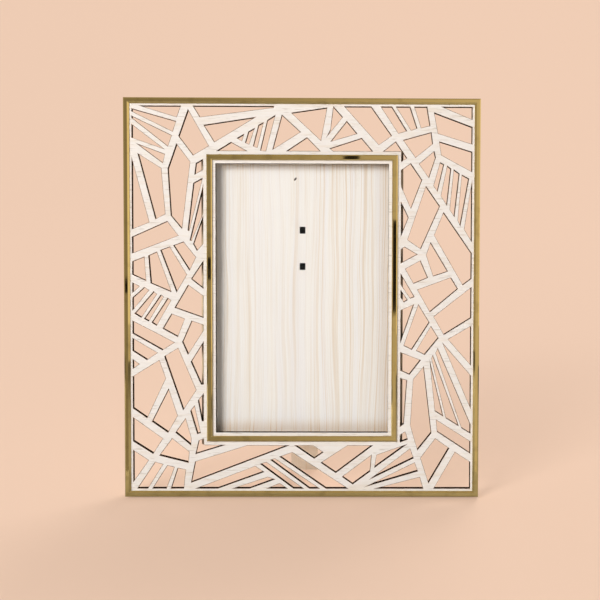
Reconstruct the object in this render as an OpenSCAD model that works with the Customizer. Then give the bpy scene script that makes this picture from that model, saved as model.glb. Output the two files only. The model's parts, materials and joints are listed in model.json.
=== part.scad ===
// Free-standing picture frame for a 102 x 152 mm photo: a pale laser-cut lattice sheet in a
// mitred brass trim, with a brass inlay round the window, a shallow box of rails behind it for
// the glass and the back, four turn buttons and a hinged easel leg.
// Frame axes: X right, Y from the front to the back, Z up. The frame leans back on its leg.

/* [Overall size] */
// Width over the outer brass trim
frame_w = 194; // [180:1:240]
// Height over the outer brass trim
frame_h = 218; // [205:1:260]
// Angle that the frame leans back from upright
lean = 9; // [6:1:14]
// Angle of the easel leg from upright, behind the frame
leg_spread = 10; // [8:1:18]

/* [Outer brass trim] */
// Depth of the trim from front to back
trim_d = 10; // [7.5:0.5:16]
// Thickness of the trim's outer wall
trim_wall = 1.2; // [0.8:0.1:2]
// Width of the trim's front lip
lip_w = 3.2; // [2.4:0.1:3.8]
// Thickness of the trim's front lip
lip_t = 1.2; // [0.8:0.1:2]
// Width of the bevel on the lip's inner edge
lip_bevel = 1.1; // [0.5:0.1:1.3]

/* [Lattice sheet] */
// Thickness of the sheet
sheet_t = 4.5; // [3:0.5:6]
// Solid border from the trim's outer edge to the cut field
border_out = 4.5; // [4:0.25:7]
// Solid border from the window to the cut field
border_in = 6.8; // [6.2:0.2:9]
// Play between the sheet's edge and the trim's wall
sheet_play = 0.1; // [0.05:0.05:0.3]

/* [Window and inlay] */
// Width of the window
window_w = 94.4; // [86:0.2:98]
// Height of the window
window_h = 147.2; // [140:0.2:149]
// Bare strip between the window's edge and the inlay
inlay_gap = 1.8; // [1.5:0.1:2.6]
// Width of the brass inlay
inlay_w = 3; // [2:0.1:3.2]
// Depth that the inlay is let into the sheet
inlay_seat = 1.2; // [0.6:0.1:1.5]

/* [Glass and back] */
// Width of the photo, glass and back
photo_w = 102; // [100:1:105]
// Height of the photo, glass and back
photo_h = 153; // [151:1:156]
// Thickness of the glass
glass_t = 2; // [1:0.5:2.5]
// Room for the photo between glass and back
photo_gap = 0.4; // [0.2:0.1:0.8]
// Thickness of the backboard
back_t = 3; // [2:0.5:4]
// Play round the glass and the back inside the rails
box_play = 0.3; // [0.2:0.1:0.6]
// Thickness of the rails round the box
rail_w = 4; // [3.5:0.25:5]
// How far the rails stand behind the backboard
rail_rise = 0.3; // [0.2:0.1:1]
// Diameter of the brads through the rails
brad_d = 1.2; // [0.8:0.1:1.4]
// Length of the brads
brad_len = 8.4; // [7:0.2:8.8]
// Distance of the end brads from the ends of a rail
brad_inset = 12; // [8:1:20]

/* [Turn buttons] */
// Length of a turn button
button_len = 13; // [10:0.5:16]
// Width of a turn button
button_w = 4.4; // [3.6:0.2:6]
// Thickness of a turn button
button_t = 1; // [0.6:0.1:1.6]
// Height of the buttons above and below the middle of the frame
button_at = 48; // [35:1:60]
// Diameter of the button pins
pin_d = 2; // [1.4:0.1:2.2]
// Diameter of the button pins' heads
pin_head_d = 3.8; // [3:0.2:5]
// Depth of the button pins in the rails
pin_seat = 4.5; // [3:0.5:5]
// Clearance between a button and what it turns over
button_play = 0.3; // [0.2:0.1:0.6]
// Radial clearance of a turning pin in its hole
run_play = 0.05; // [0.02:0.01:0.1]

/* [Easel] */
// Height of the hinge axis above the frame's bottom edge
hinge_z = 118; // [100:1:125]
// Width of the hinge bracket
bracket_w = 16; // [14:1:24]
// Height of the hinge bracket above its axis
bracket_h = 34; // [32:1:44]
// Thickness of the hinge's sheet steel
hinge_t = 1; // [0.8:0.1:1.4]
// Outer diameter of the hinge barrel
barrel_d = 4; // [3.6:0.2:5]
// Diameter of the hinge pin
hinge_pin_d = 2; // [1.6:0.1:2.4]
// Width of the middle knuckle
knuckle_w = 6; // [5:0.5:8]
// Gap beside the middle knuckle
knuckle_play = 0.3; // [0.2:0.1:0.6]
// Width of the square slots in the backboard
slot_w = 3.2; // [2.4:0.2:4]
// Height of the square slots in the backboard
slot_h = 3.8; // [2.6:0.2:4.6]
// Height of the lower slot above the hinge axis
slot_low = 8.5; // [7:0.5:10]
// Distance between the two slots
slot_pitch = 20; // [16:0.5:22]
// Play of a prong in its slot
prong_play = 0.2; // [0.1:0.1:0.4]
// How far a prong stops short of the backboard's front
prong_short = 1.4; // [0.4:0.1:1.8]
// Thickness of the easel leg
leg_t = 3.5; // [3:0.25:5]
// Width of the leg at the hinge
leg_top_w = 20; // [18:1:30]
// Width of the leg at the foot
leg_foot_w = 15; // [12:1:40]
// Length of the leaf on the leg
leaf_len = 24; // [18:1:32]
// Diameter of the leaf's rivets
rivet_d = 2.4; // [1.8:0.2:3]

/* [Hidden] */
$fn = 48;

brass = "#b8964a";
pale_wood = "#efe6d8";
rail_wood = "#e2d3bb";
steel = "#4a4a48";
glass_tint = "#dfeaea";

// Overlap of joined shapes, and the extra length of a cutter that goes right through
eps = 0.01;
through = 1;

// Layers, measured back from the front face of the brass
sheet_y = lip_t;
sheet_back = sheet_y + sheet_t;
back_y = sheet_back + glass_t + photo_gap;
back_end = back_y + back_t;
rail_d = glass_t + photo_gap + back_t + rail_rise;
rail_end = sheet_back + rail_d;

// Brass: width and depth of its eased edges, the bevel's depth, and the size over the inlay
ease_w = 0.6;
ease_d = 0.3;
bevel_d = min(0.7 * lip_bevel, lip_t - ease_d);
inlay_out = [window_w + 2 * (inlay_gap + inlay_w), window_h + 2 * (inlay_gap + inlay_w)];
inlay_d = sheet_y + inlay_seat;

// Sheet, and half sizes of its cut field
mid_z = frame_h / 2;
sheet_inset = 2 * (trim_wall + sheet_play);
field_out = [frame_w / 2 - border_out, frame_h / 2 - border_out];
field_in = [window_w / 2 + border_in, window_h / 2 + border_in];

// Box of rails; the brads stand where a rail lies over the sheet's solid border
box_w = photo_w + 2 * box_play;
box_h = photo_h + 2 * box_play;
rail_x = box_w / 2 + rail_w / 2;
rail_z = box_h / 2 + rail_w / 2;
brad_wall = 1.3;
brad_side_x = box_w / 2 + brad_wall;
brad_end_z = box_h / 2 + brad_wall;

// Button pins: their centres, and the underside and thickness of their heads
button_places = [for (z = [1, -1], x = [-1, 1]) [x * rail_x, mid_z + z * button_at]];
pin_shoulder = rail_end + 1.5 * button_play + button_t;
pin_head_t = 0.8;

// Hinge: axis, outer knuckles, pin heads, and the reach of the stop lug above the axis
axis_y = back_end + barrel_d / 2 + button_play;
outer_knuckle = (bracket_w - knuckle_w) / 2 - knuckle_play;
hinge_head_d = hinge_pin_d + 1;
hinge_head_t = 0.6;
stop_len = 1.6 * barrel_d;

// Leg, measured from the hinge axis with the leg hanging straight down
leaf_y = -barrel_d / 2;
leg_y = leaf_y + hinge_t;
leg_rear = leg_y + leg_t;
leg_top_gap = barrel_d / 2 + 1;
rivet_x = 0.3 * bracket_w;
rivet_depths = [for (share = [0.3, 0.75]) leg_top_gap + share * leaf_len];
rivet_head_d = 1.7 * rivet_d;
rivet_head_t = 0.6;

// Resting place: the hinge axis above the ground and behind the trim's lower rear edge
leg_open = lean + leg_spread;
axis_rise = hinge_z * cos(lean) - (axis_y - trim_d) * sin(lean);
axis_back = hinge_z * sin(lean) + (axis_y - trim_d) * cos(lean);
depth_front = -trim_d * cos(lean);
depth_rear = axis_back + axis_rise * tan(leg_spread) + leg_rear / cos(leg_spread);
depth_mid = (depth_front + depth_rear) / 2;

// The cut pattern is drawn from the frame's middle and bottom edge for these half sizes
drawn_in = [54, 80.4];
drawn_out = [92.5, 104.5];
drawn_mid = 109;
// The drawing's middle lies this far left of the frame's middle
cut_shift = 0.5;

// Cut-outs above the window, from left to right
cuts_top = [
    [[-89.7, 214], [-66.3, 214], [-68.7, 207.6]],
    [[-93.2, 212], [-69.1, 205.2], [-70.9, 199.8], [-93.2, 210.7]],
    [[-93.2, 208], [-71.5, 197.6], [-73.5, 191.8], [-93.2, 207.2]],
    [[-93.2, 203.6], [-76, 190.5], [-93.2, 196.5]],
    [[-89.8, 192.8], [-75.2, 187.4], [-76.3, 182.8]],
    [[-62.5, 211.5], [-51.4, 192], [-59.8, 187], [-67.6, 197.3]],
    [[-60, 214], [-15.8, 214], [-16.2, 212.8], [-56, 207.6]],
    [[-53.9, 203.2], [-26.2, 207.5], [-48.2, 194.2]],
    [[-47, 189.2], [-39.2, 194], [-30.5, 189.2]],
    [[-35.8, 196.2], [-32.3, 198.3], [-33.3, 194.8]],
    [[-31.4, 193.8], [-29.6, 199.8], [-26.5, 201.5], [-29.4, 193]],
    [[-27.1, 192], [-24.2, 203.3], [-21.6, 204.7], [-25, 191.2]],
    [[-23.2, 189.7], [-19.4, 206], [-15.3, 208.5], [-20.3, 189.3]],
    [[-16.5, 190.3], [-11.5, 208.8], [-1.5, 199.7]],
    [[-9.4, 189], [2.1, 196.7], [9.6, 189]],
    [[-6.3, 210], [12.9, 212.8], [9.6, 195.2]],
    [[16.5, 213.3], [21.4, 207.8], [13.3, 197.9], [14.9, 201]],
    [[15.2, 194.8], [23.7, 205.5], [29.2, 198.9]],
    [[14.6, 190.8], [31.8, 196.4], [38.1, 189], [17, 189]],
    [[22.1, 214], [36.6, 214], [48.1, 197.9], [41.2, 193]],
    [[42, 214], [47.9, 214], [56.3, 200.5], [51.8, 199.2]],
    [[50.3, 214], [57.9, 214], [61.9, 202], [58.8, 200.8]],
    [[60.4, 214], [67.2, 214], [69, 203.4], [64.2, 202.2]],
    [[54.6, 195.5], [69.7, 199.7], [70.5, 193.6], [61.2, 186.2]],
    [[43.3, 189], [50.4, 194.6], [56.4, 185.8], [52.8, 183.5], [52.8, 189]],
    [[74.6, 214], [92.9, 214], [92.9, 206.4]],
    [[71.3, 210.4], [92.9, 202.3], [92.9, 193.2], [73.4, 199.2]],
    [[74.2, 194.7], [92.9, 188.9], [92.9, 178], [75.3, 187.5]],
    [[71.3, 189.4], [72.1, 186.2], [68.5, 175.2], [63.3, 182.6]]
];

// Cut-outs left of the window, from top to bottom
cuts_left = [
    [[-93.2, 185.5], [-83.8, 150.5], [-93.2, 146.8]],
    [[-89.7, 187.6], [-77.2, 179.8], [-75.1, 155], [-80.3, 152.4]],
    [[-68.8, 193], [-61.5, 183.4], [-66, 147.2], [-71.9, 154.2], [-73.5, 179.6]],
    [[-54, 185], [-58.2, 182.5], [-58.9, 176.6], [-54, 179.5]],
    [[-59.6, 171.8], [-54.8, 174.4], [-62.1, 146], [-62.7, 146.2]],
    [[-54, 172], [-54, 156.5], [-60.8, 140.6], [-61.6, 140.8]],
    [[-54, 155], [-59.8, 138.8], [-57.8, 135.2], [-54, 139.5]],
    [[-93.2, 142.4], [-74, 151], [-68.1, 143.3], [-93.2, 133.6]],
    [[-93.2, 129], [-86.6, 131.6], [-85.7, 118.7], [-93.2, 122.2]],
    [[-84.2, 132.3], [-79.7, 134.3], [-72, 112.7], [-83, 117.4]],
    [[-77.6, 135.3], [-72.7, 137.1], [-63.5, 122], [-69, 112.6]],
    [[-70.5, 137.9], [-65.2, 139.8], [-58.5, 131.5], [-61.9, 124.5]],
    [[-54, 130], [-60.9, 119.7], [-54, 114.2]],
    [[-62.7, 116.3], [-54, 110], [-54, 98.4], [-69.9, 104]],
    [[-93.2, 117.6], [-89.3, 115.6], [-93.2, 112]],
    [[-86.6, 115], [-84.2, 113.4], [-93.2, 102.4], [-93.2, 109]],
    [[-81.5, 112.7], [-79.9, 111.3], [-88.3, 98.6], [-91.8, 100.7]],
    [[-77.6, 110.8], [-76.2, 109.9], [-84.3, 96.6], [-86.6, 97.9]],
    [[-73.8, 109.1], [-72.2, 107.9], [-80, 94.2], [-82.5, 95.8]],
    [[-71.8, 100.5], [-64.7, 97.8], [-68.5, 88.1], [-76.5, 92.5]],
    [[-93.2, 96.7], [-70.4, 84.9], [-76.9, 80.8], [-93.2, 90]],
    [[-60.8, 96.7], [-54, 94.3], [-54, 92.2], [-62.9, 78.5], [-65.9, 85.1]],
    [[-93.2, 87.2], [-79.7, 79.2], [-85.3, 75.4], [-93.2, 80.4]],
    [[-54, 85.8], [-61.2, 74.3], [-55.7, 61.9], [-54, 62]],
    [[-93.2, 75.6], [-89.6, 73], [-93.2, 70.4]],
    [[-93.2, 66], [-78.6, 75], [-75.2, 65.2], [-85.4, 43.4], [-93.2, 48.9]],
    [[-75.7, 77.2], [-68.3, 81.7], [-58.5, 58.8], [-65.6, 47.9]],
    [[-73.6, 59.2], [-68.8, 44.6], [-74, 35.4], [-82.6, 41.4]],
    [[-54, 57.2], [-57.4, 53], [-55.3, 41.8], [-54, 41.8]],
    [[-59.5, 50], [-61.6, 47.2], [-57.9, 34.7], [-56.2, 35.2]],
    [[-64.4, 43], [-61.3, 32.3], [-61.5, 28.5], [-69.7, 35.3]],
    [[-93.2, 43.7], [-76.9, 32], [-82.2, 23.7], [-93.2, 30.7]],
    [[-57.1, 30.8], [-54, 32.2], [-54, 28.4], [-43.4, 28.4], [-58.8, 23.6]]
];

// Cut-outs right of the window, from top to bottom
cuts_right = [
    [[58.6, 182.8], [64.7, 174], [58.8, 158.6], [52.8, 172], [52.8, 178.6]],
    [[74.7, 183.4], [76.6, 182.4], [73.2, 167.9], [71.2, 170.8]],
    [[78.6, 181.5], [80.5, 180.1], [78.4, 160.4], [75.2, 165.3]],
    [[82.2, 179.5], [85.1, 177.4], [82.5, 154.2], [80.1, 157.9]],
    [[86.6, 176.7], [90.3, 174.7], [85.8, 149.2], [84.5, 152]],
    [[92.9, 177.5], [92.9, 139.2], [88, 147.2]],
    [[52.8, 163], [57.4, 153.5], [52.8, 142]],
    [[67, 170.4], [74.5, 159.7], [64.2, 136.5], [57.1, 141.3]],
    [[76.7, 156.2], [92.9, 132.8], [92.9, 120.9], [87.4, 116.8], [71.7, 143.8]],
    [[55.4, 137.4], [62.3, 133.4], [52.8, 128.3], [52.8, 135.6]],
    [[56, 125.4], [64.1, 129.9], [68.1, 120.7], [60.5, 117.6]],
    [[69.7, 139.7], [79, 124.2], [71.2, 121.6], [67.4, 133]],
    [[62.7, 114], [80.8, 120.7], [84.6, 114.6], [69.5, 102]],
    [[71.7, 99.3], [92.9, 116], [92.9, 99.3], [77.2, 89.5]],
    [[52.8, 123.6], [60.8, 110.2], [58.7, 109.4], [52.8, 118]],
    [[52.8, 114.6], [57, 108.5], [55.3, 107.4], [52.8, 111]],
    [[52.8, 102.4], [60.5, 105.8], [52.8, 83.7]],
    [[63.2, 105.8], [69.1, 96.1], [59.6, 81.3], [55.3, 83.4]],
    [[70.1, 93.9], [74.1, 87.6], [66.7, 78.5], [62.2, 80.7]],
    [[79.6, 86.9], [92.9, 94.7], [92.9, 71.9]],
    [[76.9, 84.3], [92.9, 66], [92.9, 47.2]],
    [[52.8, 79.8], [64.4, 75.4], [58.4, 67.6], [52.8, 70.1]],
    [[52.8, 65.6], [57, 64.3], [55.3, 40.3], [52.8, 38.3]],
    [[66.2, 71.7], [70.5, 35.2], [63.1, 25.9], [59.1, 39.5], [60.6, 64.8]],
    [[69.9, 73.2], [76.9, 44.7], [72.6, 47.4]],
    [[71.2, 77.9], [85.5, 39.3], [78.7, 43.5], [70.6, 76.3]],
    [[73.9, 81.7], [92.9, 38], [92.9, 34.6], [87.3, 38.1], [72.8, 79.4]],
    [[52.8, 33.8], [56.2, 35.8], [57.5, 31.7], [52.8, 29.9]],
    [[73.3, 42.4], [92.9, 30], [92.9, 23.5], [73.9, 36]],
    [[72.8, 32.1], [80.4, 26.8], [69.2, 7.7], [64.8, 21.4]],
    [[83.7, 24.6], [92.9, 18.6], [92.9, 4.4], [72.1, 4.4]]
];

// Cut-outs below the window, from left to right
cuts_bottom = [
    [[-93.2, 25.6], [-84.7, 20], [-93.2, 8]],
    [[-81.1, 18.9], [-76.9, 17.8], [-85.2, 4.4], [-90.8, 4.4]],
    [[-74.4, 17.1], [-70.6, 16.2], [-75, 4.4], [-82.5, 4.4]],
    [[-68.7, 15.7], [-64.4, 14.8], [-65.5, 4.4], [-72.4, 4.4]],
    [[-71.7, 32], [-62.4, 24.7], [-62.9, 18.8], [-78.6, 22.7]],
    [[-61.3, 7.8], [-59.1, 19.2], [-30.5, 28.2], [-8.2, 28.2]],
    [[-58.5, 4.4], [-26.2, 16.7], [-21.5, 13.6], [-47, 4.4]],
    [[-38.3, 4.4], [-19.2, 10.7], [-15.6, 9.5], [-29.5, 4.4]],
    [[-19.6, 4.4], [-12.8, 7.2], [-8.6, 4.4]],
    [[-23.3, 18], [-20, 18.9], [0.3, 4.4], [-5, 4.4]],
    [[-17.6, 20.2], [-15.4, 20.9], [9.1, 4.4], [3.8, 4.4]],
    [[-12.6, 22], [-5.8, 24.4], [24.7, 4.4], [12.9, 4.4]],
    [[-4.2, 28.2], [5.5, 28.2], [11.1, 24.5], [6.2, 21.1]],
    [[10, 18.7], [24.6, 28.2], [38.1, 28.2], [18.1, 13.2]],
    [[21.7, 10.9], [37.7, 22.9], [36.9, 13.9], [27.4, 6.9]],
    [[40.6, 23], [56.5, 28.6], [39.5, 16.2]],
    [[37.7, 10.1], [58.9, 26.4], [60.8, 21.3]],
    [[35.6, 5.9], [61.4, 18.7], [63.2, 14.1]],
    [[40, 4.4], [64.3, 10.7], [66.2, 4.4]]
];

// Places a value of the drawing on the real sheet, so that the pattern follows both borders
function fitted(t, d_in, d_out, f_in, f_out) =
    abs(t) <= d_in ? t * f_in / d_in
    : sign(t) * (f_in + (abs(t) - d_in) * (f_out - f_in) / (d_out - d_in));

function on_sheet(p) = [
    fitted(p.x + cut_shift, drawn_in.x, drawn_out.x, field_in.x, field_out.x),
    mid_z + fitted(p.y - drawn_mid, drawn_in.y, drawn_out.y, field_in.y, field_out.y)
];

function side_length(side, w, h) = side == "top" || side == "bottom" ? w : h;

// Stands the upright frame on its lower rear edge, leaning back
module lean_back()
    translate([0, -depth_mid, 0]) rotate([-lean, 0, 0]) translate([0, -trim_d, 0]) children();

// Turns the leg's pieces, drawn hanging from the hinge axis, to their open place
module on_hinge()
    lean_back() translate([0, axis_y, hinge_z]) rotate([leg_open, 0, 0]) children();

// Raises an upright outline into a slab from y0 backwards
module slab(y0, t) translate([0, y0 + t, 0]) rotate([90, 0, 0]) linear_extrude(t) children();

// A rectangle about the middle of the frame
module centred(w, h) translate([0, mid_z]) square([w, h], center = true);

// A round bar along X, centred on the place where it is drawn
module along_x(d, length) rotate([0, 90, 0]) cylinder(d = d, h = length, center = true);

// A round bar from y0 backwards
module along_y(d, y0, length) translate([0, y0, 0]) rotate([-90, 0, 0]) cylinder(d = d, h = length);

// A bar along X with mitred ends; its section is drawn as [inwards, backwards]
module mitred_bar(length, width, depth) {
    intersection() {
        translate([-length / 2, 0, 0]) rotate([0, 90, 0]) linear_extrude(length) children();
        slab(0, depth)
            polygon([[-length / 2, 0], [length / 2, 0],
                [length / 2 - width, -width], [-length / 2 + width, -width]]);
    }
}

// Places a bar on one side of a rectangle w by h about the middle of the frame
module on_side(side, w, h) {
    if (side == "top") translate([0, 0, mid_z + h / 2]) children();
    if (side == "bottom") translate([0, 0, mid_z - h / 2]) rotate([0, 180, 0]) children();
    if (side == "right") translate([w / 2, 0, mid_z]) rotate([0, 90, 0]) children();
    if (side == "left") translate([-w / 2, 0, mid_z]) rotate([0, -90, 0]) children();
}

// Angle of brass: a wall round the sheet's edge and a bevelled lip in front of it
module outer_trim(side) {
    color(brass) lean_back() on_side(side, frame_w, frame_h)
        mitred_bar(side_length(side, frame_w, frame_h), lip_w, trim_d)
            polygon([[0, ease_d], [ease_w, 0], [lip_w - lip_bevel, 0],
                [lip_w, bevel_d], [lip_w, lip_t], [trim_wall, lip_t],
                [trim_wall, trim_d], [0, trim_d]]);
}

module inlay(side) {
    color(brass) lean_back() on_side(side, inlay_out.x, inlay_out.y)
        mitred_bar(side_length(side, inlay_out.x, inlay_out.y), inlay_w, inlay_d)
            polygon([[0, ease_d], [ease_w, 0], [inlay_w - ease_w, 0],
                [inlay_w, ease_d], [inlay_w, inlay_d], [0, inlay_d]]);
}

// The field between the sheet's two solid borders
module cut_field() difference() {
    centred(2 * field_out.x, 2 * field_out.y);
    centred(2 * field_in.x, 2 * field_in.y);
}

module cut_pattern() {
    for (cut = concat(cuts_top, cuts_left, cuts_right, cuts_bottom))
        polygon([for (p = cut) on_sheet(p)]);
}

module inlay_groove() slab(sheet_y - eps, inlay_seat + eps) difference() {
    centred(inlay_out.x, inlay_out.y);
    centred(inlay_out.x - 2 * inlay_w, inlay_out.y - 2 * inlay_w);
}

module lattice_sheet() {
    color(pale_wood) lean_back() difference() {
        slab(sheet_y, sheet_t) difference() {
            centred(frame_w - sheet_inset, frame_h - sheet_inset);
            centred(window_w, window_h);
            intersection() { cut_field(); cut_pattern(); }
        }
        inlay_groove();
        brads();
    }
}

// Three brads to a side rail and two to an end rail, through the rail and into the sheet
module brads() {
    for (x = [-brad_side_x, brad_side_x], z = [-1, 0, 1])
        brad(x, mid_z + z * (box_h / 2 - brad_inset));
    for (x = [-1, 1], z = [-brad_end_z, brad_end_z])
        brad(x * (box_w / 2 - brad_inset), mid_z + z);
}

module brad(x, z) translate([x, 0, z]) along_y(brad_d, rail_end - brad_len, brad_len);

module pin_holes() {
    for (p = button_places)
        translate([p.x, 0, p.y]) along_y(pin_d, rail_end - pin_seat, pin_seat + eps);
}

// The side rails run the whole height and the end rails butt between them
module side_rail(x) {
    color(rail_wood) lean_back() difference() {
        slab(sheet_back, rail_d)
            translate([x, mid_z]) square([rail_w, box_h + 2 * rail_w], center = true);
        brads();
        pin_holes();
    }
}

module end_rail(z) {
    color(rail_wood) lean_back() difference() {
        slab(sheet_back, rail_d) translate([0, mid_z + z]) square([box_w, rail_w], center = true);
        brads();
    }
}

module glass_pane() {
    color(glass_tint, 0.35) lean_back() slab(sheet_back, glass_t) centred(photo_w, photo_h);
}

// The outlines of the backboard's two slots, or of the prongs in them when play is taken off
module slot_pair(play)
    for (z = [slot_low, slot_low + slot_pitch])
        translate([0, hinge_z + z]) square([slot_w - play, slot_h - play], center = true);

module backboard() {
    color(pale_wood) lean_back() slab(back_y, back_t) difference() {
        centred(photo_w, photo_h);
        slot_pair(0);
    }
}

// A round-ended strip that reaches from its pin over the edge of the backboard
module turn_button(i) {
    p = button_places[i];
    reach = -sign(p.x) * (button_len - button_w);
    color(steel) lean_back() slab(rail_end + button_play, button_t) translate(p) difference() {
        union() {
            circle(d = button_w);
            translate([reach, 0]) circle(d = button_w);
            translate([reach / 2, 0]) square([abs(reach), button_w], center = true);
        }
        circle(d = pin_d + 2 * run_play);
    }
}

module button_pins() {
    color(steel) lean_back() for (p = button_places) translate([p.x, 0, p.y]) {
        along_y(pin_d, rail_end - pin_seat, pin_shoulder - rail_end + pin_seat);
        along_y(pin_head_d, pin_shoulder, pin_head_t);
    }
}

// Plate with two prongs into the backboard's slots, and the two outer knuckles below it
module hinge_bracket() {
    color(steel) lean_back() difference() {
        union() {
            slab(back_end, hinge_t) difference() {
                translate([-bracket_w / 2, hinge_z]) square([bracket_w, bracket_h]);
                translate([-knuckle_w / 2 - knuckle_play, hinge_z - eps])
                    square([knuckle_w + 2 * knuckle_play, barrel_d / 2 + knuckle_play]);
            }
            slab(back_y + prong_short, back_t - prong_short + eps) slot_pair(prong_play);
            for (x = [-bracket_w / 2, bracket_w / 2 - outer_knuckle]) {
                translate([x + outer_knuckle / 2, axis_y, hinge_z]) along_x(barrel_d, outer_knuckle);
                translate([x, back_end, hinge_z])
                    cube([outer_knuckle, axis_y - back_end, barrel_d / 2]);
            }
        }
        translate([0, axis_y, hinge_z]) along_x(hinge_pin_d, bracket_w + through);
    }
}

module hinge_pin() {
    color(steel) lean_back() translate([0, axis_y, hinge_z]) {
        along_x(hinge_pin_d, bracket_w);
        for (side = [-1, 1]) translate([side * (bracket_w + hinge_head_t) / 2, 0, 0])
            along_x(hinge_head_d, hinge_head_t);
    }
}

// Middle knuckle, leaf under the leg, and the lug that meets the bracket when the leg is open
module leg_leaf() {
    color(steel) on_hinge() difference() {
        union() {
            along_x(barrel_d, knuckle_w);
            translate([-knuckle_w / 2, leaf_y, -leg_top_gap - eps])
                cube([knuckle_w, hinge_t, leg_top_gap + eps]);
            translate([-bracket_w / 2, leaf_y, -leg_top_gap - leaf_len])
                cube([bracket_w, hinge_t, leaf_len]);
            rotate([-leg_open, 0, 0]) translate([-knuckle_w / 2, leg_y, 0])
                cube([knuckle_w, hinge_t, stop_len]);
        }
        along_x(hinge_pin_d + 2 * run_play, knuckle_w + through);
        rivet_shanks();
    }
}

module rivet_shanks() {
    for (x = [-rivet_x, rivet_x], depth = rivet_depths)
        translate([x, 0, -depth]) along_y(rivet_d, leaf_y, hinge_t + leg_t);
}

module leaf_rivets() {
    color(steel) on_hinge() {
        rivet_shanks();
        for (x = [-rivet_x, rivet_x], depth = rivet_depths)
            translate([x, 0, -depth]) along_y(rivet_head_d, leg_rear, rivet_head_t);
    }
}

// Tapered board, cut at the foot so that it stands flat
module easel_leg() {
    leg_len = axis_rise / cos(leg_spread) + leg_t;
    color(pale_wood) on_hinge() difference() {
        slab(leg_y, leg_t)
            polygon([[-leg_top_w / 2, -leg_top_gap], [leg_top_w / 2, -leg_top_gap],
                [leg_foot_w / 2, -leg_len], [-leg_foot_w / 2, -leg_len]]);
        rivet_shanks();
        rotate([-leg_spread, 0, 0]) translate([-leg_foot_w, -frame_h / 2, -axis_rise - frame_h])
            cube([2 * leg_foot_w, 2 * frame_h, frame_h]);
    }
}

outer_trim("top");  // outer_trim_top
outer_trim("bottom");  // outer_trim_bottom
outer_trim("left");  // outer_trim_left
outer_trim("right");  // outer_trim_right
lattice_sheet();
inlay("top");  // inlay_top
inlay("bottom");  // inlay_bottom
inlay("left");  // inlay_left
inlay("right");  // inlay_right
end_rail(rail_z);  // rail_top
end_rail(-rail_z);  // rail_bottom
side_rail(-rail_x);  // rail_left
side_rail(rail_x);  // rail_right
color(steel) lean_back() brads();  // rail_brads
glass_pane();
backboard();
turn_button(0);  // turn_button_upper_left
turn_button(1);  // turn_button_upper_right
turn_button(2);  // turn_button_lower_left
turn_button(3);  // turn_button_lower_right
button_pins();
hinge_bracket();
hinge_pin();
leg_leaf();
leaf_rivets();
easel_leg();
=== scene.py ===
"""Looks of a pale lattice picture frame with brass trim, glass, a limed back and an easel leg."""
import json
import math

import bmesh
import bpy
from mathutils import Matrix, Vector


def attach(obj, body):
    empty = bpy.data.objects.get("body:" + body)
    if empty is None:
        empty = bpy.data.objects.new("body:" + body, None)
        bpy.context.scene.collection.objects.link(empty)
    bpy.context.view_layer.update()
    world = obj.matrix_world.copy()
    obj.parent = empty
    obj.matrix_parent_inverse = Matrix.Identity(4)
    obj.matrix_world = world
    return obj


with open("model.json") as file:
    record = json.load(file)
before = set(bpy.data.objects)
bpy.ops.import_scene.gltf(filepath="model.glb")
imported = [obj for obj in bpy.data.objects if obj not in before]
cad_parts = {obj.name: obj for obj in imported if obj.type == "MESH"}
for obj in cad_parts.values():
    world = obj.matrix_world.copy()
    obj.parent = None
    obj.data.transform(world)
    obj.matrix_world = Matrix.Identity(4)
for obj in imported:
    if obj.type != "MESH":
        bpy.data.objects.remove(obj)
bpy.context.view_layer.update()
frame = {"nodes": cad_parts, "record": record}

MM = 0.001
SIDES = ("top", "bottom", "left", "right")

# The frame leans back about the lower rear edge of its trim. The record's mount on the trim's
# underside lies half the trim's depth in front of that edge.
LEAN = math.radians(9)
LEG_SPREAD = math.radians(10)
TRIM_DEPTH = 10 * MM
MOUNTS = {mount["name"]: mount["pos_m"] for mount in frame["record"]["mounts"]}
STAND_Y = MOUNTS["trim_rest"][1] + TRIM_DEPTH / 2 * math.cos(LEAN)


def colour(red, green, blue):
    """A colour as it is seen, from 0 to 255, turned into the linear colour that a socket takes."""
    def linear(value):
        value /= 255
        return value / 12.92 if value <= 0.04045 else ((value + 0.055) / 1.055) ** 2.4
    return (linear(red), linear(green), linear(blue), 1)


def leaning_back():
    """The turn and move from the frame's own upright axes to where it stands."""
    stand = Matrix.Translation((0, STAND_Y, 0)) @ Matrix.Rotation(-LEAN, 4, "X")
    return stand @ Matrix.Translation((0, -TRIM_DEPTH, 0))


def own_box(*nodes):
    """The lowest and highest corner of these nodes in the frame's own upright axes."""
    upright = leaning_back().inverted()
    points = [upright @ vertex.co for node in nodes
              for vertex in frame["nodes"][node].data.vertices]
    return Vector(map(min, zip(*points))), Vector(map(max, zip(*points)))


class Socket:
    """An output in a material; an expression on it adds the Math nodes that work it out."""

    def __init__(self, finish, output):
        self.finish = finish
        self.output = output

    def maths(self, operation, *values):
        sockets = dict(enumerate(values))
        return self.finish.add("ShaderNodeMath", {"operation": operation}, sockets)

    def __add__(self, other):
        return self.maths("ADD", self, other)

    __radd__ = __add__

    def __sub__(self, other):
        return self.maths("SUBTRACT", self, other)

    def __rsub__(self, other):
        return self.maths("SUBTRACT", other, self)

    def __mul__(self, other):
        return self.maths("MULTIPLY", self, other)

    __rmul__ = __mul__

    def __abs__(self):
        return self.maths("ABSOLUTE", self)

    def __lt__(self, other):
        return self.maths("LESS_THAN", self, other)


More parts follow.
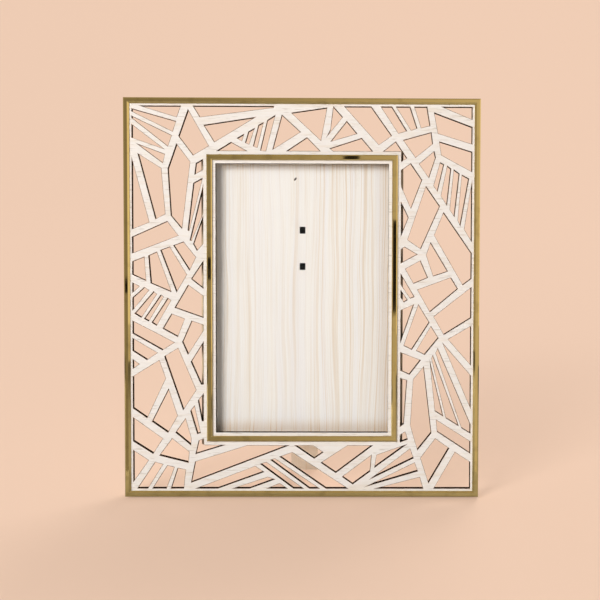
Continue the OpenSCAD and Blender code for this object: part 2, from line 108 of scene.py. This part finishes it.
class Finish:
    """One procedural material, or the room's own nodes where a tree is given.

    Places and lengths are in millimetres in the frame's own upright axes: across, from front to
    back, and up.
    """

    def __init__(self, name, tree=None):
        if tree is None:
            self.material = bpy.data.materials.new(name)
            self.material.use_nodes = True
            tree = self.material.node_tree
        self.tree = tree
        self.tree.nodes.clear()

    def add(self, kind, settings=None, sockets=None, output=0):
        """Adds a node: its type, its settings, then the values or links of its sockets."""
        node = self.tree.nodes.new(kind)
        for name, value in (settings or {}).items():
            setattr(node, name, value)
        for key, value in (sockets or {}).items():
            if isinstance(value, Socket):
                self.tree.links.new(value.output, node.inputs[key])
            else:
                node.inputs[key].default_value = value
        return Socket(self, node.outputs[output]) if node.outputs else None

    def place(self):
        """The point on the piece."""
        at = self.add("ShaderNodeTexCoord", output="Object")
        turned = Matrix.Rotation(LEAN, 4, "X") @ Vector((0, -STAND_Y, 0))
        origin = (turned + Vector((0, TRIM_DEPTH, 0))) / MM
        return self.add("ShaderNodeMapping", {"vector_type": "POINT"}, {
            "Vector": at, "Location": origin, "Rotation": (LEAN, 0, 0), "Scale": (1 / MM,) * 3})

    def axis(self, place, letter):
        """One of a place's three numbers: X, Y or Z."""
        return self.add("ShaderNodeSeparateXYZ", {}, {0: place}, output=letter)

    def noise(self, place, lengths, detail=3, roughness=0.5, distortion=0):
        """Fractal noise from 0 to 1 whose features have these lengths along the axes."""
        shares = tuple(1 / length for length in lengths)
        stretched = self.add("ShaderNodeVectorMath", {"operation": "MULTIPLY"},
                             {0: place, 1: shares})
        return self.add("ShaderNodeTexNoise", {}, {
            "Vector": stretched, "Scale": 1.0, "Detail": detail, "Roughness": roughness,
            "Distortion": distortion})

    def ramp(self, value, low, high):
        """From 0 at low to 1 at high, with a smooth rise."""
        sockets = {"Value": value, "From Min": low, "From Max": high}
        return self.add("ShaderNodeMapRange", {"interpolation_type": "SMOOTHSTEP"}, sockets)

    def patches(self, place, lengths, rise, detail=3, roughness=0.5):
        """Patches of noise: 0 below the first level of the rise, 1 above the second."""
        return self.ramp(self.noise(place, lengths, detail, roughness), *rise)

    def mix(self, share, first, second):
        """A colour between two colours."""
        settings = {"data_type": "RGBA", "blend_type": "MIX"}
        return self.add("ShaderNodeMix", settings, {0: share, 6: first, 7: second}, output=2)

    def bump(self, height, distance, strength):
        """The normal of a surface raised by height times distance, in millimetres."""
        sockets = {"Height": height, "Distance": distance * MM, "Strength": strength}
        return self.add("ShaderNodeBump", {}, sockets)

    def surface(self, **sockets):
        """Ends the material in a Principled shader; a word's underscores stand for spaces."""
        named = {name.replace("_", " "): value for name, value in sockets.items()}
        self.output(self.add("ShaderNodeBsdfPrincipled", {}, named))
        return self.material

    def output(self, shader):
        self.add("ShaderNodeOutputMaterial", {}, {"Surface": shader})


# In every wood: how much longer its broad streaks and shorter its pores are than its grain, the
# share of the grain in a streak, and the levels of noise between which streaks and pores come in
BROAD_STREAKS = 4
SHORT_PORES = 3
GRAIN_SHARE = 0.65
STREAK_RISE = (0.46, 0.68)
PORE_RISE = (0.62, 0.78)
PORE_DEPTH = 0.35
PORE_RELIEF = 0.5


def wood_colour(finish, place, pale, streak, grain, depth):
    """Pale wood with long streaks and finer pores along the grain; returns colour and relief."""
    broad = finish.noise(place, [BROAD_STREAKS * length for length in grain])
    fine = finish.noise(place, grain, detail=5, roughness=0.62, distortion=0.4)
    pores = finish.noise(place, [length / SHORT_PORES for length in grain], detail=2)
    streaks = finish.ramp(fine * GRAIN_SHARE + broad * (1 - GRAIN_SHARE), *STREAK_RISE)
    tinted = finish.mix(streaks * depth, pale, streak)
    shade = finish.ramp(pores, *PORE_RISE) * (PORE_DEPTH * depth)
    return finish.mix(shade, tinted, streak), fine + pores * PORE_RELIEF


# Veneer of the lattice: its tones, the lengths of its grain, patches, pores and soot, how much
# the patches and pores colour it, how rough its face and its cuts are, and the most by which a
# cut face may look forward
LIMED = colour(233, 229, 225)
LIMED_STREAK = colour(220, 206, 188)
LIMED_PORE = colour(172, 158, 142)
BURNT = colour(20, 13, 11)
BURNT_BROWN = colour(56, 38, 28)
VENEER_GRAIN = (26, 5, 1.4)
VENEER_PATCHES = (16, 5, 9)
VENEER_PORES = (7, 3, 0.55)
VENEER_SOOT = (1.2, 2.5, 1.2)
PATCHES_SHARE = 0.3
PORES_SHARE = 0.42
FACE_ROUGHNESS = 0.62
CUT_ROUGHNESS = 0.87
CUT_FORWARD = 0.5


def burnt_edge_mask(finish):
    """1 on the faces that the laser cut, which stand square to the sheet's faces."""
    normal = finish.add("ShaderNodeNewGeometry", output="Normal")
    forward = (0, -math.cos(LEAN), math.sin(LEAN))
    facing = finish.add("ShaderNodeVectorMath", {"operation": "DOT_PRODUCT"},
                        {0: normal, 1: forward}, output="Value")
    return abs(facing) < CUT_FORWARD


def lattice_veneer():
    """Whitewashed veneer with a faint level grain and burnt cut faces."""
    finish = Finish("whitewashed_lattice")
    place = finish.place()
    pale, relief = wood_colour(finish, place, LIMED, LIMED_STREAK, VENEER_GRAIN, depth=0.45)
    patches = finish.patches(place, VENEER_PATCHES, rise=(0.56, 0.75))
    pores = finish.patches(place, VENEER_PORES, rise=(0.62, 0.72), detail=2, roughness=0.4)
    greyed = finish.mix(patches * PATCHES_SHARE, pale, LIMED_STREAK)
    washed = finish.mix(pores * PORES_SHARE, greyed, LIMED_PORE)
    soot = finish.patches(place, VENEER_SOOT, rise=(0.42, 0.72))
    burnt = finish.mix(soot, BURNT, BURNT_BROWN)
    cut = burnt_edge_mask(finish)
    return finish.surface(
        Base_Color=finish.mix(cut, washed, burnt), Specular_IOR_Level=0,
        Roughness=FACE_ROUGHNESS + cut * (CUT_ROUGHNESS - FACE_ROUGHNESS),
        Normal=finish.bump(relief, distance=0.05, strength=0.5))


# Backboard: its tones, the lengths of its grain, cool bands, growth rings and fine lines, and
# over what lengths and how far its grain wanders to the side
BACK_PALE = colour(237, 234, 230)
BACK_STREAK = colour(216, 199, 175)
BACK_COOL = colour(234, 232, 233)
# The tan of the shade painted on the board along its foot, head and right side
BACK_PAINTED_SHADE = colour(212, 176, 136)
BACK_LINE = colour(214, 190, 158)
BACK_GRAIN = (0.9, 3, 70)
BACK_BANDS = (5, 9, 200)
BACK_RINGS = (1.8, 9, 300)
BACK_LINES = (0.75, 9, 260)
WANDER_LENGTHS = (30, 30, 110)
WANDER_ASIDE = (9, 0, 0)

# How much of their colour the bands, the rings and, at the left and the right, the lines give it,
# and between which places across the lines grow stronger
BANDS_SHARE = 0.7
RINGS_SHARE = 0.55
LINES_SHARE_LEFT = 0.2
LINES_SHARE_RIGHT = 0.58
LINES_GROW = (-10, 28)

# The heights and widths over which the painted tan shade at its foot, head and right side comes and
# goes (the shade that the window's edges cast into the recessed board), how strong each is, and the
# share that shows in plain wood and further in the lines
FOOT_PAINTED_SHADE = (36, 44)
HEAD_PAINTED_SHADE = (177, 184)
RIGHT_PAINTED_SHADE = (38, 46)
FOOT_SHADE_SHARE = 0.62
HEAD_SHADE_SHARE = 0.4
RIGHT_SHADE_SHARE = 0.3
SHADE_IN_PLAIN = 0.62
SHADE_IN_LINES = 0.9

# Its small knot: how far across and up its middle is, its slant and size, how soft its edge is,
# and how much of its colour shows
KNOT_ACROSS = -4.0
KNOT_UP = 174.5
KNOT_SLANT = math.radians(38)
KNOT_SIZE = (0.52, 1.0, 1.05)
KNOT_EDGE = (0.8, 1.2)
KNOT_SHARE = 0.95


def knot_mask(finish, place):
    """How much the knot, which lies in the board's front face, shows."""
    front = own_box("backboard")[0].y / MM
    at = finish.add("ShaderNodeMapping", {"vector_type": "TEXTURE"}, {
        "Vector": place, "Location": (KNOT_ACROSS, front, KNOT_UP),
        "Rotation": (0, KNOT_SLANT, 0), "Scale": KNOT_SIZE})
    far = finish.add("ShaderNodeVectorMath", {"operation": "LENGTH"}, {0: at}, output="Value")
    return KNOT_SHARE * (1 - finish.ramp(far, *KNOT_EDGE))


def limed_back():
    """Backboard with an upright grain and tan streaks, painted shade towards its foot, head and
    right side, and a small knot.
    """
    finish = Finish("limed_backboard")
    place = finish.place()
    across = finish.axis(place, "X")
    up = finish.axis(place, "Z")
    wander = finish.noise(place, WANDER_LENGTHS, detail=2)
    bent = finish.add("ShaderNodeVectorMath", {"operation": "MULTIPLY_ADD"},
                      {0: wander, 1: WANDER_ASIDE, 2: place})
    pale, relief = wood_colour(finish, bent, BACK_PALE, BACK_STREAK, BACK_GRAIN, depth=0.45)
    cool = finish.patches(bent, BACK_BANDS, rise=(0.40, 0.66))
    rings = finish.patches(bent, BACK_RINGS, rise=(0.51, 0.74), detail=4, roughness=0.72)
    lines = finish.patches(bent, BACK_LINES, rise=(0.53, 0.66), detail=2)
    # Painted shade: the board darkens towards its foot, head and right side, where the window's
    # edges shade the recess
    edges = (FOOT_SHADE_SHARE * (1 - finish.ramp(up, *FOOT_PAINTED_SHADE))
             + HEAD_SHADE_SHARE * finish.ramp(up, *HEAD_PAINTED_SHADE)
             + RIGHT_SHADE_SHARE * finish.ramp(across, *RIGHT_PAINTED_SHADE))
    painted_shade = edges * (SHADE_IN_PLAIN + SHADE_IN_LINES * lines)
    grow = finish.ramp(across, *LINES_GROW)
    drawn = lines * (LINES_SHARE_LEFT + (LINES_SHARE_RIGHT - LINES_SHARE_LEFT) * grow)
    cooled = finish.mix(cool * BANDS_SHARE, pale, BACK_COOL)
    # The painted shade tints the board tan towards those edges
    edge_shaded = finish.mix(painted_shade, cooled, BACK_PAINTED_SHADE)
    lined = finish.mix(drawn, edge_shaded, BACK_LINE)
    ringed = finish.mix(rings * RINGS_SHARE, lined, BACK_STREAK)
    knotted = finish.mix(knot_mask(finish, place), ringed, BURNT_BROWN)
    return finish.surface(Base_Color=knotted, Roughness=0.6,
                          Normal=finish.bump(relief, distance=0.06, strength=0.5))


# Pine of the rails: its tones
BARE_PINE = colour(232, 208, 172)
BARE_STREAK = colour(205, 168, 122)


def bare_pine(name, grain):
    """Sanded pine without a finish, for the rails of the box."""
    finish = Finish(name)
    shade, relief = wood_colour(finish, finish.place(), BARE_PINE, BARE_STREAK, grain, depth=0.7)
    return finish.surface(Base_Color=shade, Roughness=0.68,
                          Normal=finish.bump(relief, distance=0.08, strength=0.6))


# Leg: its tones and the lengths of its grain, the last of them along the leg
LEG_PALE = colour(250, 238, 224)
LEG_STREAK = colour(241, 221, 196)
LEG_GRAIN = (1.1, 2, 40)


def limed_leg():
    """The leg's limed board; its grain follows the leg's slope."""
    finish = Finish("limed_leg")
    at = finish.add("ShaderNodeTexCoord", output="Object")
    along = finish.add("ShaderNodeMapping", {"vector_type": "POINT"},
                       {"Vector": at, "Rotation": (-LEG_SPREAD, 0, 0), "Scale": (1 / MM,) * 3})
    shade, relief = wood_colour(finish, along, LEG_PALE, LEG_STREAK, LEG_GRAIN, depth=0.75)
    return finish.surface(Base_Color=shade, Roughness=0.62,
                          Normal=finish.bump(relief, distance=0.06, strength=0.6))


# Brass: its tones, the lengths of its dull spots and how much of their colour shows, and how
# rough it is, where nothing has touched it and further where it is brushed or dull
BRASS = colour(224, 190, 118)
BRASS_DULL = colour(188, 156, 92)
DULL_SPOTS = (7, 7, 7)
DULL_SHARE = 0.5
BRASS_ROUGHNESS = 0.02
BRUSHED_ROUGHER = 0.02
DULL_ROUGHER = 0.04


def polished_brass(name, brush_marks):
    """Polished brass, faintly brushed along the bar, with a few dull spots."""
    finish = Finish(name)
    place = finish.place()
    brushed = finish.noise(place, brush_marks, detail=2)
    dull = finish.patches(place, DULL_SPOTS, rise=(0.5, 0.72), detail=4)
    return finish.surface(
        Base_Color=finish.mix(dull * DULL_SHARE, BRASS, BRASS_DULL), Metallic=1.0,
        Roughness=BRASS_ROUGHNESS + brushed * BRUSHED_ROUGHER + dull * DULL_ROUGHER,
        Normal=finish.bump(brushed, distance=0.003, strength=0.2))


# Glass: the tones of what passes and of what it reflects, and the share of its reflection that
# shows
GLASS_CLEAR = (0.996, 0.998, 0.997, 1)
GLASS_GLOSS = (1, 1, 1, 1)
GLASS_REFLECTS = 0.2


def clear_glass():
    """Float glass: clear straight on, with a reflection that grows at a slant."""
    finish = Finish("clear_glass")
    clear = finish.add("ShaderNodeBsdfTransparent", {}, {"Color": GLASS_CLEAR})
    gloss = finish.add("ShaderNodeBsdfGlossy", {}, {"Color": GLASS_GLOSS, "Roughness": 0.01})
    slant = finish.add("ShaderNodeFresnel", {}, {"IOR": 1.45})
    share = slant * GLASS_REFLECTS
    finish.output(finish.add("ShaderNodeMixShader", {}, {0: share, 1: clear, 2: gloss}))
    return finish.material


# Steel: its tones, blackened and bright, the lengths of its worn patches, how much rougher they
# are, and the lengths of its grit
BLACKENED = colour(16, 15, 15)
BLACKENED_WORN = colour(44, 42, 40)
BRIGHT = colour(176, 176, 172)
BRIGHT_WORN = colour(138, 134, 126)
WEAR_PATCHES = (2.2, 2.2, 2.2)
WORN_ROUGHER = 0.12
STEEL_GRIT = (0.3, 0.3, 0.3)


def steel(name, shade, worn, roughness):
    """Sheet steel whose soft wear changes its tone in patches."""
    finish = Finish(name)
    place = finish.place()
    wear = finish.patches(place, WEAR_PATCHES, rise=(0.52, 0.76), detail=5, roughness=0.65)
    grit = finish.noise(place, STEEL_GRIT, detail=2)
    return finish.surface(
        Base_Color=finish.mix(wear, shade, worn), Metallic=0.9,
        Roughness=roughness + wear * WORN_ROUGHER,
        Normal=finish.bump(grit, distance=0.01, strength=0.4))


def dress():
    """Gives every CAD piece its finish."""
    black = steel("blackened_steel", BLACKENED, BLACKENED_WORN, roughness=0.42)
    bright = steel("bright_steel", BRIGHT, BRIGHT_WORN, roughness=0.28)
    level_brass = polished_brass("brass_level", brush_marks=(60, 0.25, 0.25))
    upright_brass = polished_brass("brass_upright", brush_marks=(0.25, 0.25, 60))
    level_pine = bare_pine("pine_level", grain=(34, 2, 1.0))
    upright_pine = bare_pine("pine_upright", grain=(1.0, 2, 34))
    finishes = {
        "lattice_sheet": lattice_veneer(), "backboard": limed_back(), "easel_leg": limed_leg(),
        "glass_pane": clear_glass(), "hinge_bracket": black, "leg_leaf": black,
        "hinge_pin": bright, "leaf_rivets": bright, "button_pins": bright, "rail_brads": bright}
    for side in SIDES:
        level = side in ("top", "bottom")
        brass = level_brass if level else upright_brass
        finishes["outer_trim_" + side] = brass
        finishes["inlay_" + side] = brass
        finishes["rail_" + side] = level_pine if level else upright_pine
    for corner in ("upper_left", "upper_right", "lower_left", "lower_right"):
        finishes["turn_button_" + corner] = black
    for node, finish in finishes.items():
        materials = frame["nodes"][node].data.materials
        materials.clear()
        materials.append(finish)


# The scorched line: its tones, the lengths of its paler patches, its width, and how far it stands
# proud of the sheet
SCORCHED = colour(86, 62, 47)
SCORCHED_PALE = colour(152, 120, 94)
SCORCH_PATCHES = (2.5, 2.5, 2.5)
SCORCH_WIDTH = 0.2 * MM
SCORCH_PROUD = 0.02 * MM

# How wide the sheet's plain borders are at least, past the inlay and inside the trim's outside
INNER_BORDER = 1 * MM
OUTER_BORDER = 4 * MM

# Points closer than WELD are one, and a face within FLAT of the sheet's front lies in it
WELD = 0.001 * MM
FLAT = 0.01 * MM


def rim_mesh():
    """The sheet's front face cut down to a thin band round each cut-out, raised into a solid."""
    lowest, highest = own_box("lattice_sheet")
    middle = (lowest + highest) / 2
    inlay = own_box(*("inlay_" + side for side in SIDES))[1] - middle
    trim = own_box(*("outer_trim_" + side for side in SIDES))[1] - middle

    def among_cuts(face):
        at = face.calc_center_median() - middle
        across, up = abs(at.x), abs(at.z)
        past_inlay = across > inlay.x + INNER_BORDER or up > inlay.z + INNER_BORDER
        return past_inlay and across < trim.x - OUTER_BORDER and up < trim.z - OUTER_BORDER

    mesh = bmesh.new()
    mesh.from_mesh(frame["nodes"]["lattice_sheet"].data)
    mesh.transform(leaning_back().inverted())
    bmesh.ops.remove_doubles(mesh, verts=mesh.verts, dist=WELD)
    others = [face for face in mesh.faces if abs(face.calc_center_median().y - lowest.y) > FLAT]
    bmesh.ops.delete(mesh, geom=others, context="FACES")
    bands = bmesh.ops.inset_region(mesh, faces=mesh.faces[:], thickness=SCORCH_WIDTH,
                                   use_boundary=True, use_even_offset=True)["faces"]
    rims = {face for face in bands if among_cuts(face)}
    bmesh.ops.delete(mesh, geom=[face for face in mesh.faces if face not in rims], context="FACES")
    raised = bmesh.ops.extrude_face_region(mesh, geom=mesh.faces[:])["geom"]
    raised = [part for part in raised if isinstance(part, bmesh.types.BMVert)]
    bmesh.ops.translate(mesh, verts=raised, vec=(0, -SCORCH_PROUD, 0))
    mesh.transform(leaning_back())
    return mesh


def add_piece(name, mesh, material):
    """A new object in the scene, made from this mesh."""
    data = bpy.data.meshes.new(name)
    mesh.to_mesh(data)
    mesh.free()
    data.materials.append(material)
    piece = bpy.data.objects.new(name, data)
    bpy.context.scene.collection.objects.link(piece)
    return piece


def scorched_rims():
    """The thin brown line that the laser leaves on the sheet's face round each cut-out."""
    finish = Finish("scorched_wood")
    soot = finish.patches(finish.place(), SCORCH_PATCHES, rise=(0.35, 0.7))
    scorched = finish.surface(
        Base_Color=finish.mix(soot, SCORCHED, SCORCHED_PALE), Roughness=0.8)
    piece = add_piece("scorched_rims", rim_mesh(), scorched)
    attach(piece, "frame")


# The paper under and behind the frame: its tone, as it is lit and as it looks by itself, and what
# it gives to other surfaces as bounced and as mirrored light
PAPER = colour(242, 209, 185)
PAPER_LIT = colour(239, 205, 181)
PAPER_BOUNCE = colour(243, 227, 212)
PAPER_MIRRORED = colour(185, 188, 195)

# Its share of its own tone near the frame and far off, and how far behind and in front, in
# millimetres, the one passes into the other
OWN_NEAR = 0.5
OWN_FAR = 0.94
FAR_BEHIND = (-50, 500)
FAR_IN_FRONT = (-2600, -600)

# Where it starts and where it bends up, its bend's radius, its height and half its width, in metres
PAPER_START = -6.0
PAPER_BEND = 1.2
PAPER_RADIUS = 0.5
PAPER_TOP = 1.1
PAPER_HALF = 7.0
BEND_STEP = 6


def pale_paper():
    """Paper that is lit by the lamps near the frame and keeps its tone far from it."""
    finish = Finish("pale_paper")
    seen = finish.add("ShaderNodeLightPath", output="Is Camera Ray")
    mirrored = finish.add("ShaderNodeLightPath", output="Is Glossy Ray")
    unseen = finish.mix(mirrored, PAPER_BOUNCE, PAPER_MIRRORED)
    lit = finish.add("ShaderNodeBsdfDiffuse", {}, {"Color": finish.mix(seen, unseen, PAPER)})
    own = finish.add("ShaderNodeEmission", {}, {"Color": PAPER_LIT, "Strength": 1.0})
    behind = finish.axis(finish.place(), "Y")
    far = finish.ramp(behind, *FAR_BEHIND) + 1 - finish.ramp(behind, *FAR_IN_FRONT)
    share = OWN_NEAR + (OWN_FAR - OWN_NEAR) * far
    finish.output(finish.add("ShaderNodeMixShader", {}, {0: seen * share, 1: lit, 2: own}))
    return finish.material


def seamless_floor():
    """A pale paper that lies under the frame and sweeps up behind it."""
    turns = [math.radians(angle) for angle in range(0, 91, BEND_STEP)]
    profile = [(PAPER_START, 0)]
    profile += [(PAPER_BEND + PAPER_RADIUS * math.sin(turn), PAPER_RADIUS * (1 - math.cos(turn)))
                for turn in turns]
    profile.append((PAPER_BEND + PAPER_RADIUS, PAPER_TOP))
    mesh = bmesh.new()
    rows = [[mesh.verts.new((x, y, z)) for x in (-PAPER_HALF, PAPER_HALF)] for y, z in profile]
    for low, high in zip(rows, rows[1:]):
        mesh.faces.new((low[0], low[1], high[1], high[0])).smooth = True
    add_piece("paper", mesh, pale_paper())


# What the brass mirrors, in millimetres in front of the frame: a wide panel, and nearer four dark
# strips, each with its middle and its size, across and up
WIDE_PANEL = ((-30, 190), (900, 1100))
WIDE_PANEL_AWAY = 1050
DARK_STRIPS = [((92, 112), (44, 122)), ((-154, 109), (70, 29)), ((-262, 86), (80, 19)),
               ((33, 255), (21, 80))]
DARK_STRIPS_AWAY = 1000

# The wide panel's light at its left and right, and between which places across it changes
PANEL_LEFT = (0.285, 0.282, 0.279, 1)
PANEL_RIGHT = (0.67, 0.663, 0.657, 1)
PANEL_CHANGES = (-185, 200)
STRIP_DARK = colour(20, 18, 16)


def mirrored_panel(name, middle, size, away, material):
    """A panel square to the frame, in front of it, that only the polished brass mirrors."""
    mesh = bmesh.new()
    corners = []
    for x, z in ((-1, -1), (1, -1), (1, 1), (-1, 1)):
        corner = Vector((middle[0] + x * size[0] / 2, -away, middle[1] + z * size[1] / 2))
        corners.append(mesh.verts.new(leaning_back() @ (corner * MM)))
    mesh.faces.new(corners)
    panel = add_piece(name, mesh, material)
    panel.visible_camera = panel.visible_diffuse = panel.visible_shadow = False
    panel.visible_transmission = panel.visible_volume_scatter = False


def mirrored_room():
    """What the brass mirrors: a wide panel, lighter at the right, and dark strips before it."""
    wide = Finish("wide_panel")
    left, right = PANEL_CHANGES
    share = (wide.axis(wide.place(), "X") - left) * (1 / (right - left))
    glowing = wide.surface(
        Base_Color=(0, 0, 0, 1), Specular_IOR_Level=0, Emission_Strength=1,
        Emission_Color=wide.mix(share, PANEL_LEFT, PANEL_RIGHT))
    mirrored_panel("wide_panel", *WIDE_PANEL, WIDE_PANEL_AWAY, glowing)
    dark = Finish("dark_strip").surface(Base_Color=STRIP_DARK, Roughness=1.0)
    for number, (middle, size) in enumerate(DARK_STRIPS):
        mirrored_panel("dark_strip_%d" % number, middle, size, DARK_STRIPS_AWAY, dark)


# Soft boxes: name, place and size in metres, and power in watts; they aim at the frame's middle
SOFT_BOXES = [("key", (-1.25, -1.95, 1.20), 1.1, 56.5),
              ("fill", (1.3, -1.1, 0.7), 1.2, 1.5),
              ("back", (0.6, 1.25, 1.25), 1.0, 19)]
LAMPS_AIM = (0, 0, 0.11)
LAMP_TINT = (1.0, 0.99, 0.98)

# The room's own light in front of the frame and behind it, what polished surfaces mirror of it at
# the left and at the right, and between which directions each changes
ROOM_FRONT = (0.115, 0.114, 0.112, 1)
ROOM_BEHIND = (0.64, 0.634, 0.627, 1)
ROOM_CHANGES = (0.0, 0.6)
MIRRORED_LEFT = (0.42, 0.415, 0.41, 1)
MIRRORED_RIGHT = (0.62, 0.614, 0.607, 1)
MIRRORED_CHANGES = (-0.3, 0.9)


def soft_box(name, place, size, power):
    """A square soft box at this place."""
    data = bpy.data.lights.new(name, "AREA")
    data.shape = "SQUARE"
    data.size = size
    data.energy = power
    data.color = LAMP_TINT
    light = bpy.data.objects.new(name, data)
    light.location = place
    aim = Vector(LAMPS_AIM) - Vector(place)
    light.rotation_euler = aim.to_track_quat("-Z", "Y").to_euler()
    bpy.context.scene.collection.objects.link(light)


def studio_light():
    """The key at the upper left, a weak lamp at the right, one behind, and a dim room."""
    for name, place, size, power in SOFT_BOXES:
        soft_box(name, place, size, power)
    world = bpy.data.worlds.new("room")
    world.use_nodes = True
    bpy.context.scene.world = world
    room = Finish("room", world.node_tree)
    direction = room.add("ShaderNodeTexCoord", output="Generated")
    seen = room.add("ShaderNodeLightPath", output="Is Camera Ray")
    mirrored = room.add("ShaderNodeLightPath", output="Is Glossy Ray")
    behind = room.ramp(room.axis(direction, "Y"), *ROOM_CHANGES)
    lighting = room.mix(behind, ROOM_FRONT, ROOM_BEHIND)
    to_the_right = room.ramp(room.axis(direction, "X"), *MIRRORED_CHANGES)
    reflected = room.mix(to_the_right, MIRRORED_LEFT, MIRRORED_RIGHT)
    shade = room.mix(seen, room.mix(mirrored, lighting, reflected), PAPER)
    light = room.add("ShaderNodeBackground", {}, {"Color": shade, "Strength": 1.0})
    room.add("ShaderNodeOutputWorld", {}, {"Surface": light})


# The camera: its eye in the frame's own upright axes, how it is turned from square on, and the
# part of the picture's width by which the photograph's framing lies off its lens
EYE = Vector((22.3, -709.5, 137.1)) * MM
EYE_YAW = math.radians(-0.73)
EYE_PITCH = math.radians(-2.75)
EYE_ROLL = math.radians(-0.17)
EYE_SHIFT = (-0.099, 0.0165)
LENS = 78


def camera():
    """The camera at the photograph's angle."""
    data = bpy.data.cameras.new("camera")
    data.lens = LENS
    data.shift_x, data.shift_y = EYE_SHIFT
    eye = bpy.data.objects.new("camera", data)
    bpy.context.scene.collection.objects.link(eye)
    turn = (Matrix.Rotation(EYE_YAW, 4, "Z") @ Matrix.Rotation(math.pi / 2 + EYE_PITCH, 4, "X")
            @ Matrix.Rotation(-EYE_ROLL, 4, "Z"))
    eye.matrix_world = leaning_back() @ Matrix.Translation(EYE) @ turn
    bpy.context.scene.camera = eye


camera()
dress()
scorched_rims()
seamless_floor()
mirrored_room()
studio_light()
bpy.context.scene.view_settings.view_transform = "Standard"
